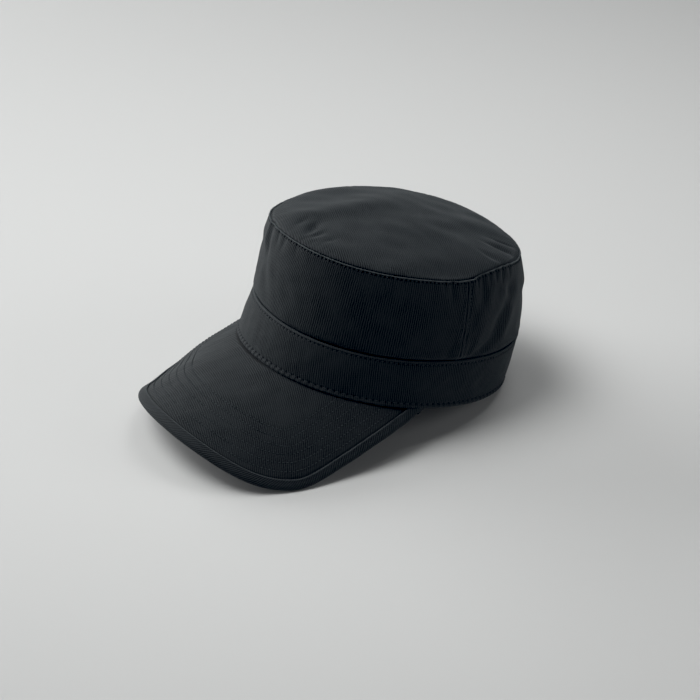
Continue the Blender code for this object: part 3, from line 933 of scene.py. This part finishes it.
# how far a place lies outside the hem, seen from above
def beyondHem(x, y, inset=0.0):
    hem = ovalPoint(cap["hem"], ovalAngle(x, y), inset)
    return np.hypot(x, y) - np.hypot(hem[..., 0], hem[..., 1])


def rootHeight(angle):
    share = smoothStep(np.abs(angle), *peak["seatAngles"])
    return hemHeight(angle) - peak["seatFront"] - (peak["seatEnd"] - peak["seatFront"]) * share


def plainHeight(x, y):
    angle = ovalAngle(x, y)
    root = ovalPoint(cap["hem"], angle)
    beyond = beyondHem(x, y)
    correction = rootHeight(angle) - archHeight(root[..., 0], root[..., 1])
    sloping = archHeight(x, y) + correction * np.exp(-(beyond / peak["rootBlend"]) ** 2)
    return np.where(beyond <= 0.0, rootHeight(angle), sloping)


def outlineReach(angle):
    degrees = np.degrees(angle)
    full = tableValue(peakOutline, np.abs(degrees))
    return full, full - tableValue(cornerBend, degrees)


def fromCentre(angle, reach):
    return reach * np.sin(angle), peak["outlineCentreY"] - reach * np.cos(angle)


def peakHeight(x, y):
    angle = np.arctan2(x, peak["outlineCentreY"] - y)
    full, bent = outlineReach(angle)
    drop = plainHeight(*fromCentre(angle, bent)) - plainHeight(*fromCentre(angle, full))
    inside = np.maximum(bent - np.hypot(x, peak["outlineCentreY"] - y), 0.0)
    return plainHeight(x, y) - drop * np.exp(-(inside / peak["bendReach"]) ** 2)


def onPeak(x, y):
    return np.stack([x, y, peakHeight(x, y)], -1)


def peakNormal(x, y):
    step = 0.0005
    slopeX = (peakHeight(x + step, y) - peakHeight(x - step, y)) / (2 * step)
    slopeY = (peakHeight(x, y + step) - peakHeight(x, y - step)) / (2 * step)
    return unit(np.stack([-slopeX, -slopeY, np.ones_like(slopeX)], -1))


def outlinePoint(angle):
    return onPeak(*fromCentre(angle, outlineReach(angle)[1]))


def outlineInward(angle):
    step = math.radians(0.5)
    along = outlinePoint(angle + step) - outlinePoint(angle - step)
    edge = outlinePoint(angle)
    return unit(np.cross(peakNormal(edge[..., 0], edge[..., 1]), along))


outlineAngles, outlineRun = runAlong(outlinePoint, -binding["end"], binding["end"], 1200)
outlineFine = outlinePoint(outlineAngles)
outlineIn = outlineInward(outlineAngles)


# distance from a line, and which of its points is nearest
def fromLine(line, points):
    flat = points.reshape(-1, 3)
    best = np.full(len(flat), np.inf)
    where = np.zeros(len(flat), int)
    for i, spot in enumerate(line):
        away = np.linalg.norm(flat - spot, axis=1)
        closer = away < best
        best[closer] = away[closer]
        where[closer] = i
    return best.reshape(points.shape[:-1]), where.reshape(points.shape[:-1])


def pointsAt(at, run, line):
    return np.stack([np.interp(at, run, line[:, k]) for k in range(3)], -1)


# a sewn row follows the outline at this distance, with its corners rounded
def rowLine(distance):
    step = np.full(len(outlineFine), distance)
    for _ in range(3):
        place = outlineFine + outlineIn * step[:, None]
        line = onPeak(place[:, 0], place[:, 1])
        step = step * distance / np.linalg.norm(line - outlineFine, axis=1)
    share, less = peak["rowLeast"]
    line = line[fromLine(outlineFine[::2], line)[0] > distance * share - less]
    run = lengthAlong(line)
    line = pointsAt(np.arange(0.0, run[-1], peak["rowStep"]), run, line)
    reach = round(3 * peak["rowSoften"] / peak["rowStep"])
    weight = np.exp(-0.5 * (np.arange(-reach, reach + 1) * peak["rowStep"] / peak["rowSoften"]) ** 2)
    before = 2 * line[0] - line[reach:0:-1]
    after = 2 * line[-1] - line[-2:-reach - 2:-1]
    padded = np.concatenate([before, line, after])
    return onPeak(*(np.convolve(padded[:, k], weight / weight.sum(), "valid") for k in range(2)))


# painted shade in the creases where the hem comes down on the peak and beside the binding
def peakCreases(rootAngle, away, beyond):
    tight = 1.0 - peak["hemCreaseFade"] * smoothStep(np.abs(rootAngle), *peak["hemCreaseAngles"])
    rightSide = smoothStep(-rootAngle, *peak["rightCreaseAngles"])
    farRound = smoothStep(-rootAngle, *peak["rightFadeAngles"])
    rightSide = rightSide * (1.0 - peak["rightCreaseFade"] * farRound)
    paintedShade = tight * mound(beyond, peak["hemCrease"]) + mound(away, peak["bindingCrease"])
    return paintedShade + rightSide * mound(beyond, peak["rightCrease"])


def makePeak():
    columns = 400
    u = np.linspace(-1.0, 1.0, columns)
    rootAngle, edgeAngle = u * peak["rootEnd"], u * peak["outlineEnd"]
    root = wallPoint(rootAngle, 0.0)
    boardEdge = outlinePoint(edgeAngle) + outlineInward(edgeAngle) * edgeRound
    # mesh rows lie close together at the hem
    shares = np.concatenate([
        np.linspace(0.004, 0.028, 7), np.linspace(0.04, 0.24, 11), np.linspace(0.25, 1.0, 118)])
    place = root[None] + (boardEdge - root)[None] * shares[:, None, None]
    x, y = place[..., 0], place[..., 1]
    upper = onPeak(x, y)
    normal = peakNormal(x, y)
    away = fromLine(outlineFine[::2], upper)[0]
    relief = edgedRipple(upper, peak["ripple"], away)
    paintedShade = peakCreases(rootAngle, away, beyondHem(x, y))
    pitch = cap["rowPitch"]
    for distance in peak["rowsAt"]:
        line = rowLine(distance)
        run = lengthAlong(line)
        turn = np.arctan2(line[:, 0], peak["outlineCentreY"] - line[:, 1])
        sunk = 1.0 - peak["flatter"] * smoothStep(-turn, *peak["flatterAngles"])
        close = np.abs(away - distance) < peak["rowNear"]
        beside, where = fromLine(line, upper[close])
        holes = holeShare(run[where], pitch, 2.0) * sunk[where]
        needle = bell(beside, 0.0, peak["holeHalf"])
        dip = peak["groove"] * sunk[where] * bell(beside, 0.0, peak["grooveHalf"])
        relief[close] -= dip + peak["hole"] * needle * holes
        # painted shade in the needle holes
        paintedShade[close] += peak["darkHole"] * needle * holes
        at = np.arange(0.5, run[-1] / pitch) * pitch
        points = pointsAt(at, run, line)
        clear = beyondHem(points[:, 0], points[:, 1], peak["rowCover"]) > 0
        share = np.interp(at, run, sunk)
        height = (stitch["peakRadius"] * peak["proud"] - peak["groove"]) * share
        height = height - peak["groove"] * (1 - share)
        points = points + peakNormal(points[:, 0], points[:, 1]) * height[:, None]
        # the row is sewn in runs: it breaks where the band covers it
        for part in np.split(np.arange(len(at)), np.flatnonzero(np.diff(clear.astype(int))) + 1):
            if clear[part[0]]:
                addStitchRow(points[part], pitch, stitch["peakRadius"])
    under = (upper - normal * peak["board"])[::-1][::6]
    upper = upper + normal * relief[..., None]
    # the root turns up inside the band
    turned = []
    for thick in (0.0, peak["board"]):
        tuck = side["tuckInset"] + thick
        corner = wallPoint(rootAngle, 0.0, tuck)
        corner[..., 2] = rootHeight(rootAngle) - thick
        turned.append(np.stack([wallPoint(rootAngle, peak["rootTuck"] / bandHeight, tuck), corner]))
    section = np.concatenate([turned[0], upper, under, turned[1][::-1]])
    marks = blankMarks(section)
    marks["paintedShade"][2:2 + len(upper)] = paintedShade
    uv = np.concatenate([section[..., :2], section[:1, :, :2]])
    data = gridMesh("peak", section, uv, True, False, marks)
    addPiece("peakCloth", data, peakTwill, "peak")


makePeak()


def makeBinding():
    columns = 420
    angle = np.linspace(-binding["end"], binding["end"], columns)
    edge, inward = outlinePoint(angle), outlineInward(angle)
    # the strip narrows where the band's hem comes down on it
    width = np.full(columns, binding["width"])
    for distance in np.arange(binding["width"], edgeRound, -binding["narrowStep"]):
        place = edge + inward * distance
        hidden = beyondHem(place[:, 0], place[:, 1], binding["hemInset"]) < 0
        width[hidden] = distance
    width = np.maximum(width, edgeRound + binding["narrowest"])

    def leg(share, lift):
        place = edge + inward * (edgeRound + (width - edgeRound) * share)[:, None]
        x, y = place[:, 0], place[:, 1]
        return onPeak(x, y) + peakNormal(x, y) * lift

    hubAt = edge + inward * edgeRound
    hubNormal = peakNormal(hubAt[:, 0], hubAt[:, 1])
    hub = onPeak(hubAt[:, 0], hubAt[:, 1]) - hubNormal * peak["board"] / 2

    def roundHub(turns, radius):
        turns = [math.radians(degrees) for degrees in turns]
        return [hub + (hubNormal * math.sin(t) - inward * math.cos(t)) * radius for t in turns]

    skin, below, wave, slack = bindingSkin, -peak["board"], binding["wave"], binding["slack"]
    legs = [(1.0, skin * 0.1), (0.97, skin * 0.6), (0.92, skin * 0.92), (0.85, skin + wave),
            (0.72, skin), (0.55, skin - wave), (0.35, skin), (0.15, skin + wave)]
    section = [leg(share, lift) for share, lift in legs]
    section += roundHub((85, 65, 45, 25, 5, -15, -35, -55, -75, -88), edgeRound)
    section += [leg(share, below - lift) for share, lift in reversed(legs)]
    section += [leg(share, below - slack) for share in (0.95, 0.5, 0.05)]
    section += roundHub((-80, -45, 0, 45, 80), edgeRound - binding["cloth"])
    section += [leg(share, slack) for share in (0.05, 0.5, 0.95)]
    section = np.stack(section)
    section[..., 2] += binding["endRise"] * smoothStep(np.abs(angle), binding["riseFrom"], binding["end"])
    marks = blankMarks(section)
    # wear and painted highlight along the folded edge
    marks["wearAndHighlight"][:len(binding["wearAndHighlight"])] = np.array(binding["wearAndHighlight"])[:, None]
    uv = stripUv(np.interp(angle, outlineAngles, outlineRun), section)
    data = gridMesh("binding", section, uv, True, False, marks)
    addPiece("bindingStrip", data, bindingTwill, "peak_binding")


makeBinding()


def stitchTree():
    tree = bpy.data.node_groups.new("stitchRow", "GeometryNodeTree")
    sockets = {"Geometry": "Geometry", "Stitch Share": "Float", "Wander": "Float", "Seed": "Int",
               "Thread": "Material"}
    for name, kind in sockets.items():
        tree.interface.new_socket(name, in_out="INPUT", socket_type="NodeSocket" + kind)
    tree.interface.new_socket("Geometry", in_out="OUTPUT", socket_type="NodeSocketGeometry")
    given = tree.nodes.new("NodeGroupInput").outputs

    def measured(name):
        kind = "GeometryNodeInputNamedAttribute"
        return addNode(tree, kind, {"Name": name}, data_type="FLOAT")["Attribute"]

    # a ball stretched along the row at every point, its direction a little off
    half = addNode(tree, "ShaderNodeMath", {0: measured("halfPitch"), 1: given["Stitch Share"]},
                   operation="MULTIPLY")[0]
    girth = measured("girth")
    size = addNode(tree, "ShaderNodeCombineXYZ", {"X": girth, "Y": girth, "Z": half})["Vector"]
    away = {"Min": (-1.0, -1.0, -1.0), "Max": (1.0, 1.0, 1.0), "Seed": given["Seed"]}
    jitter = addNode(tree, "FunctionNodeRandomValue", away, data_type="FLOAT_VECTOR")["Value"]
    spread = addNode(tree, "ShaderNodeVectorMath", {0: jitter, "Scale": given["Wander"]},
                     operation="SCALE")["Vector"]
    tangent = addNode(tree, "GeometryNodeInputTangent", {})["Tangent"]
    bent = addNode(tree, "ShaderNodeVectorMath", {0: tangent, 1: spread}, operation="ADD")["Vector"]
    aim = addNode(tree, "FunctionNodeAlignEulerToVector", {"Vector": bent}, axis="Z")["Rotation"]
    parts = {"Segments": stitch["segments"], "Rings": stitch["rings"], "Radius": 1.0}
    placed = addNode(tree, "GeometryNodeInstanceOnPoints", {
        "Points": addNode(tree, "GeometryNodeMeshToCurve", {"Mesh": given["Geometry"]})["Curve"],
        "Instance": addNode(tree, "GeometryNodeMeshUVSphere", parts)["Mesh"],
        "Rotation": aim, "Scale": size})["Instances"]
    real = addNode(tree, "GeometryNodeRealizeInstances", {"Geometry": placed})["Geometry"]
    painted = addNode(tree, "GeometryNodeSetMaterial", {"Geometry": real, "Material": given["Thread"]})
    addNode(tree, "NodeGroupOutput", {"Geometry": painted["Geometry"]})
    return tree


def socketNamed(tree, name):
    return next(item.identifier for item in tree.interface.items_tree
                if item.name == name and item.in_out == "INPUT")


def sewAll():
    tree = stitchTree()
    verts, edges, halfPitch, girth = [], [], [], []
    for row, pitch, radius in stitchRows:
        points = toRest(row)
        halfPitch += [pitch / 2] * len(points)
        girth += [radius] * len(points)
        base = len(verts)
        verts += points.tolist()
        edges += [(base + i, base + i + 1) for i in range(len(points) - 1)]
    path = bpy.data.meshes.new("stitchPaths")
    path.from_pydata(verts, edges, [])
    path.attributes.new("halfPitch", "FLOAT", "POINT").data.foreach_set("value", halfPitch)
    path.attributes.new("girth", "FLOAT", "POINT").data.foreach_set("value", girth)
    holder = newObject("stitchPaths", path)
    sewn = holder.modifiers.new("stitches", "NODES")
    sewn.node_group = tree
    for name, value in (("Stitch Share", stitch["share"]), ("Wander", stitch["wander"]),
                        ("Seed", stitch["seed"]), ("Thread", thread)):
        sewn[socketNamed(tree, name)] = value
    bpy.context.view_layer.update()
    graph = bpy.context.evaluated_depsgraph_get()
    made = bpy.data.meshes.new_from_object(holder.evaluated_get(graph))
    made.name = "stitches"
    bpy.data.objects.remove(holder)
    made.shade_smooth()
    piece = newObject("stitches", made)
    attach(piece, "root")
    print("stitches:", len(made.polygons), "faces")


sewAll()

# plain pale floor
stage = {"half": 4.0, "colour": (0.54, 0.547, 0.547), "roughness": 0.9, "specular": 0.1}


def layFloor():
    h = stage["half"]
    data = bpy.data.meshes.new("floor")
    data.from_pydata([(-h, -h, 0), (h, -h, 0), (h, h, 0), (-h, h, 0)], [], [(0, 1, 2, 3)])
    floor = newObject("floor", data)
    paper, tree = newFinish("paper")
    fillShader(tree, (*stage["colour"], 1.0), stage)
    data.materials.append(paper)


layFloor()

view = {
    "azimuth": math.radians(57.5),
    "elevation": math.radians(31.5),
    "distance": 1.8689,
    "lens": 133.7,
    "along": -0.0156,
    "lift": 0.0016,
}
# turn is counted from the camera's side: -90 is its left, 180 is behind the cap
lights = [
    {"name": "lowWindow", "turn": -125, "height": 19.5, "size": (2.0, 1.2), "power": 42.0, "spread": 180},
    {"name": "leftSoftbox", "turn": -90, "height": 66, "size": (1.3, 1.3), "power": 4.3, "spread": 60},
    {"name": "rearSoftbox", "turn": 140, "height": 66, "size": (1.3, 1.3), "power": 1.5, "spread": 60},
    {"name": "rightFill", "turn": 80, "height": 20, "size": (1.3, 1.3), "power": 8.0, "spread": 180},
]
room = {
    "lightsAway": 2.0,
    "colour": (1.0, 1.0, 0.99),
    "glow": 0.055,
    "blackLevel": (0.0064, 0.0055, 0.0037),
}
back = np.array([math.sin(view["azimuth"]), -math.cos(view["azimuth"]), 0.0])
right = np.array([math.cos(view["azimuth"]), math.sin(view["azimuth"]), 0.0])


def aimed(thing, place, target):
    thing.location = place
    thing.rotation_euler = Vector(target - place).to_track_quat("-Z", "Y").to_euler()


def placeCamera():
    lens = bpy.data.cameras.new("camera")
    lens.lens = view["lens"]
    lens.sensor_width = 36.0
    camera = newObject("camera", lens)
    target = right * view["along"] + zUp * view["lift"] + np.array(cap["restPlace"])
    e = view["elevation"]
    aimed(camera, target + (back * math.cos(e) + zUp * math.sin(e)) * view["distance"], target)
    bpy.context.scene.camera = camera


def hangLights():
    centre = np.array(cap["restPlace"])
    for lamp in lights:
        data = bpy.data.lights.new(lamp["name"], "AREA")
        data.shape = "ELLIPSE"
        data.size, data.size_y = lamp["size"]
        data.energy = lamp["power"]
        data.color = room["colour"]
        data.spread = math.radians(lamp["spread"])
        item = newObject(lamp["name"], data)
        turn, height = math.radians(lamp["turn"]), math.radians(lamp["height"])
        away = (back * math.cos(turn) + right * math.sin(turn)) * math.cos(height) + zUp * math.sin(height)
        aimed(item, centre + away * room["lightsAway"], centre)
    world = bpy.data.worlds.new("room")
    world.use_nodes = True
    fillInputs(world.node_tree, world.node_tree.nodes["Background"], {
        "Color": (*room["colour"], 1.0), "Strength": room["glow"]})
    scene = bpy.context.scene
    scene.world = world
    scene.view_settings.view_transform = "Standard"
    scene.view_settings.use_curve_mapping = True
    scene.view_settings.curve_mapping.black_level = room["blackLevel"]
    scene.view_settings.curve_mapping.update()


placeCamera()
hangLights()
print("floor, lights and camera placed")
